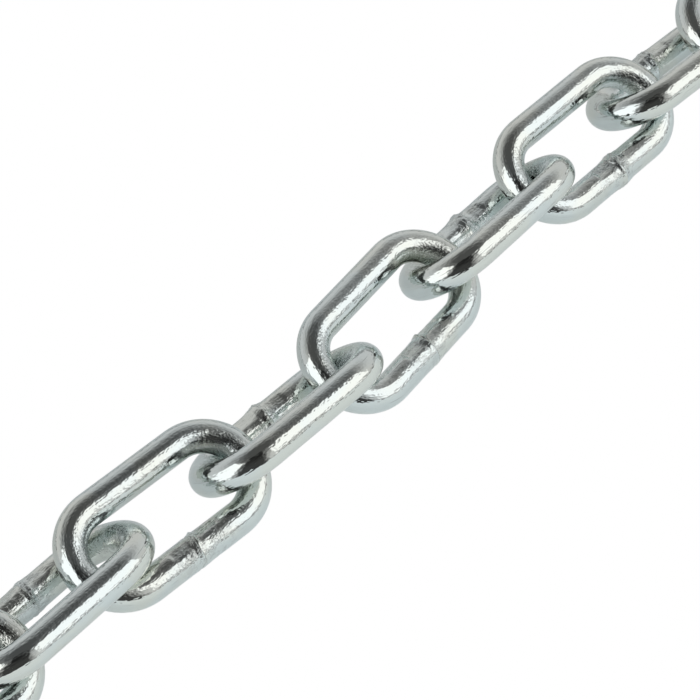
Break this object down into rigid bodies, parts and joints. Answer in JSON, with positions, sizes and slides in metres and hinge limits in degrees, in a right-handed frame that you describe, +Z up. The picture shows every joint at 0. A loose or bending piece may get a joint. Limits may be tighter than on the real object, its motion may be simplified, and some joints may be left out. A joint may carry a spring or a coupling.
{
  "type": "steel chain",
  "caption": "Straight length of bright zinc-plated, welded round-link steel chain, lying on a floor with its links leaning left and right by turns.",
  "frame": {"origin": "on the floor, under the middle of the chain as it lies", "axes": "+X along the chain from link_01 to link_25, +Y to its left, +Z up from the floor"},
  "size_m": [0.9332, 0.033, 0.021],
  "materials": {
    "bright_zinc": "bright zinc plated, smooth with light scuffs"
  },
  "bodies": {
    "link_01": {"link_01": "bright_zinc"},
    "link_02": {"link_02": "bright_zinc"},
    "link_03": {"link_03": "bright_zinc"},
    "link_04": {"link_04": "bright_zinc"},
    "link_05": {"link_05": "bright_zinc"},
    "link_06": {"link_06": "bright_zinc"},
    "link_07": {"link_07": "bright_zinc"},
    "link_08": {"link_08": "bright_zinc"},
    "link_09": {"link_09": "bright_zinc"},
    "link_10": {"link_10": "bright_zinc"},
    "link_11": {"link_11": "bright_zinc"},
    "link_12": {"link_12": "bright_zinc"},
    "link_13": {"link_13": "bright_zinc"},
    "link_14": {"link_14": "bright_zinc"},
    "link_15": {"link_15": "bright_zinc"},
    "link_16": {"link_16": "bright_zinc"},
    "link_17": {"link_17": "bright_zinc"},
    "link_18": {"link_18": "bright_zinc"},
    "link_19": {"link_19": "bright_zinc"},
    "link_20": {"link_20": "bright_zinc"},
    "link_21": {"link_21": "bright_zinc"},
    "link_22": {"link_22": "bright_zinc"},
    "link_23": {"link_23": "bright_zinc"},
    "link_24": {"link_24": "bright_zinc"},
    "link_25": {"link_25": "bright_zinc"}
  },
  "joints": [
    {"name": "swing_02", "type": "hinge", "parent": "link_01", "child": "link_02", "pos_m": [-0.4147, 0.00128, 0.00907], "axis": [-0.004, 0.454, 0.891], "range_deg": [-90, 90]},
    {"name": "swing_03", "type": "hinge", "parent": "link_02", "child": "link_03", "pos_m": [-0.37895, 0.00077, 0.00949], "axis": [-0.0392, -0.4985, 0.866], "range_deg": [-90, 90]},
    {"name": "swing_04", "type": "hinge", "parent": "link_03", "child": "link_04", "pos_m": [-0.34547, -0.0017, 0.00958], "axis": [-0.0154, -0.5876, -0.809], "range_deg": [-90, 90]},
    {"name": "swing_05", "type": "hinge", "parent": "link_04", "child": "link_05", "pos_m": [-0.30808, -0.00269, 0.00959], "axis": [-0.06, 0.5265, -0.848], "range_deg": [-90, 90]},
    {"name": "swing_06", "type": "hinge", "parent": "link_05", "child": "link_06", "pos_m": [-0.26972, 0.00174, 0.00963], "axis": [-0.0154, 0.5876, 0.809], "range_deg": [-90, 90]},
    {"name": "swing_07", "type": "hinge", "parent": "link_06", "child": "link_07", "pos_m": [-0.23195, 0.00224, 0.00998], "axis": [-0.0098, -0.5591, 0.829], "range_deg": [-90, 90]},
    {"name": "swing_08", "type": "hinge", "parent": "link_07", "child": "link_08", "pos_m": [-0.19328, 0.00117, 0.00971], "axis": [-0.0287, -0.4686, -0.8829], "range_deg": [-90, 90]},
    {"name": "swing_09", "type": "hinge", "parent": "link_08", "child": "link_09", "pos_m": [-0.15746, 0.00026, 0.00903], "axis": [-0.0169, 0.4845, -0.8746], "range_deg": [-90, 90]},
    {"name": "swing_10", "type": "hinge", "parent": "link_09", "child": "link_10", "pos_m": [-0.12225, 0.00155, 0.00907], "axis": [-0.004, 0.454, 0.891], "range_deg": [-90, 90]},
    {"name": "swing_11", "type": "hinge", "parent": "link_10", "child": "link_11", "pos_m": [-0.0865, 0.00103, 0.00949], "axis": [-0.0392, -0.4985, 0.866], "range_deg": [-90, 90]},
    {"name": "swing_12", "type": "hinge", "parent": "link_11", "child": "link_12", "pos_m": [-0.05302, -0.00144, 0.00958], "axis": [-0.0154, -0.5876, -0.809], "range_deg": [-90, 90]},
    {"name": "swing_13", "type": "hinge", "parent": "link_12", "child": "link_13", "pos_m": [-0.01563, -0.00243, 0.00959], "axis": [-0.06, 0.5265, -0.848], "range_deg": [-90, 90]},
    {"name": "swing_14", "type": "hinge", "parent": "link_13", "child": "link_14", "pos_m": [0.02273, 0.002, 0.00963], "axis": [-0.0154, 0.5876, 0.809], "range_deg": [-90, 90]},
    {"name": "swing_15", "type": "hinge", "parent": "link_14", "child": "link_15", "pos_m": [0.06049, 0.00251, 0.00998], "axis": [-0.0098, -0.5591, 0.829], "range_deg": [-90, 90]},
    {"name": "swing_16", "type": "hinge", "parent": "link_15", "child": "link_16", "pos_m": [0.09917, 0.00144, 0.00971], "axis": [-0.0287, -0.4686, -0.8829], "range_deg": [-90, 90]},
    {"name": "swing_17", "type": "hinge", "parent": "link_16", "child": "link_17", "pos_m": [0.13499, 0.00052, 0.00903], "axis": [-0.0169, 0.4845, -0.8746], "range_deg": [-90, 90]},
    {"name": "swing_18", "type": "hinge", "parent": "link_17", "child": "link_18", "pos_m": [0.1702, 0.00181, 0.00907], "axis": [-0.004, 0.454, 0.891], "range_deg": [-90, 90]},
    {"name": "swing_19", "type": "hinge", "parent": "link_18", "child": "link_19", "pos_m": [0.20595, 0.0013, 0.00949], "axis": [-0.0392, -0.4985, 0.866], "range_deg": [-90, 90]},
    {"name": "swing_20", "type": "hinge", "parent": "link_19", "child": "link_20", "pos_m": [0.23943, -0.00118, 0.00958], "axis": [-0.0154, -0.5876, -0.809], "range_deg": [-90, 90]},
    {"name": "swing_21", "type": "hinge", "parent": "link_20", "child": "link_21", "pos_m": [0.27682, -0.00216, 0.00959], "axis": [-0.06, 0.5265, -0.848], "range_deg": [-90, 90]},
    {"name": "swing_22", "type": "hinge", "parent": "link_21", "child": "link_22", "pos_m": [0.31518, 0.00227, 0.00963], "axis": [-0.0154, 0.5876, 0.809], "range_deg": [-90, 90]},
    {"name": "swing_23", "type": "hinge", "parent": "link_22", "child": "link_23", "pos_m": [0.35294, 0.00277, 0.00998], "axis": [-0.0098, -0.5591, 0.829], "range_deg": [-90, 90]},
    {"name": "swing_24", "type": "hinge", "parent": "link_23", "child": "link_24", "pos_m": [0.39162, 0.0017, 0.00971], "axis": [-0.0287, -0.4686, -0.8829], "range_deg": [-90, 90]},
    {"name": "swing_25", "type": "hinge", "parent": "link_24", "child": "link_25", "pos_m": [0.42744, 0.00079, 0.00903], "axis": [-0.0169, 0.4845, -0.8746], "range_deg": [-90, 90]}
  ]
}
